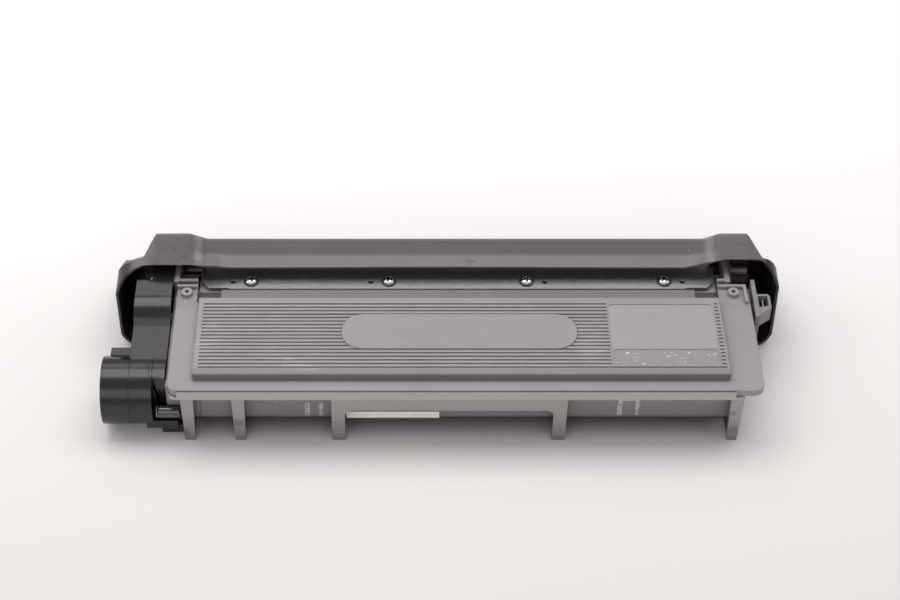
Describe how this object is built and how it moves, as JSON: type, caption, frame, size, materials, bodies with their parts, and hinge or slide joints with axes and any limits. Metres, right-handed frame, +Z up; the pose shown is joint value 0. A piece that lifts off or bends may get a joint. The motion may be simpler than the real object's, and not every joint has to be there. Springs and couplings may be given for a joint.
{
  "type": "toner cartridge",
  "caption": "Long grey toner cartridge for a laser printer, with a ribbed lid, a front handle, a geared drive end and a dark clip-on cover over the developer roller",
  "frame": {"origin": "middle of the footprint, on the floor that the cartridge lies on", "axes": "+X along the length towards the contact end, with the drive gears at -X; the handle side faces -Y and the developer roller with its clip-on cover faces +Y; +Z up"},
  "size_m": [0.313, 0.108, 0.053],
  "materials": {
    "grey_plastic": "fine matt moulded grain, scuffed",
    "black_plastic": "polished, with fine handling scratches",
    "dark_plastic": "satin moulded face, dusty",
    "steel": "rolled sheet and ground bar",
    "bright_steel": "bright nickel plate",
    "gear_resin": "natural acetal",
    "rubber": "fine ground conductive rubber",
    "foam": "open cell foam and felt pile",
    "film": "clear polyester film",
    "paper": "matt label paper, torn"
  },
  "bodies": {
    "cartridge_frame": {"hopper_shell": "grey_plastic", "hopper_lid": "grey_plastic", "gear_cover": "black_plastic", "guide_pin": "black_plastic", "electrode_cover": "grey_plastic", "bias_contact": "bright_steel", "fill_cap": "black_plastic", "protective_cover": "dark_plastic", "serial_label": "paper", "doctor_blade": "steel", "blade_bracket": "steel", "blade_screw_1": "bright_steel", "blade_screw_2": "bright_steel", "blade_screw_3": "bright_steel", "blade_screw_4": "bright_steel", "gear_cover_screw_1": "bright_steel", "gear_cover_screw_2": "bright_steel", "electrode_screw": "bright_steel", "end_seal_left": "foam", "end_seal_right": "foam", "lower_seal_film": "film", "developer_bearing_left": "black_plastic", "developer_bearing_right": "black_plastic", "supply_bearing_left": "black_plastic", "supply_bearing_right": "black_plastic"},
    "coupling": {"drive_coupling": "gear_resin"},
    "agitator": {"agitator_shaft": "gear_resin", "agitator_film": "film", "agitator_gear": "gear_resin"},
    "idler_1": {"idler_gear_1": "gear_resin"},
    "idler_2": {"idler_gear_2": "gear_resin"},
    "supply_roller": {"supply_shaft": "steel", "supply_foam": "foam", "supply_gear": "gear_resin", "supply_clip": "steel"},
    "developer_roller": {"developer_shaft": "steel", "developer_sleeve": "rubber", "developer_gear": "gear_resin", "developer_clip": "steel"}
  },
  "joints": [
    {"name": "coupling_spin", "type": "hinge", "parent": "cartridge_frame", "child": "coupling", "pos_m": [-0.135, -0.03643, 0.017], "axis": [1, 0, 0], "continuous": true},
    {"name": "agitator_spin", "type": "hinge", "parent": "cartridge_frame", "child": "agitator", "pos_m": [-0.135, -0.01543, 0.017], "axis": [1, 0, 0], "continuous": true},
    {"name": "idler_1_spin", "type": "hinge", "parent": "cartridge_frame", "child": "idler_1", "pos_m": [-0.135, 0.0044, 0.0222], "axis": [1, 0, 0], "continuous": true},
    {"name": "idler_2_spin", "type": "hinge", "parent": "cartridge_frame", "child": "idler_2", "pos_m": [-0.135, 0.02639, 0.02977], "axis": [1, 0, 0], "continuous": true},
    {"name": "supply_spin", "type": "hinge", "parent": "cartridge_frame", "child": "supply_roller", "pos_m": [-0.135, 0.02099, 0.01849], "axis": [1, 0, 0], "continuous": true},
    {"name": "developer_spin", "type": "hinge", "parent": "cartridge_frame", "child": "developer_roller", "pos_m": [-0.135, 0.03743, 0.02199], "axis": [1, 0, 0], "continuous": true}
  ],
  "couplings": [
    {"joint": "coupling_spin", "follows": "developer_spin", "ratio": -0.68182},
    {"joint": "agitator_spin", "follows": "developer_spin", "ratio": 0.75},
    {"joint": "idler_1_spin", "follows": "developer_spin", "ratio": -0.71429},
    {"joint": "supply_spin", "follows": "developer_spin", "ratio": 1.1538},
    {"joint": "idler_2_spin", "follows": "developer_spin", "ratio": -1.25}
  ]
}
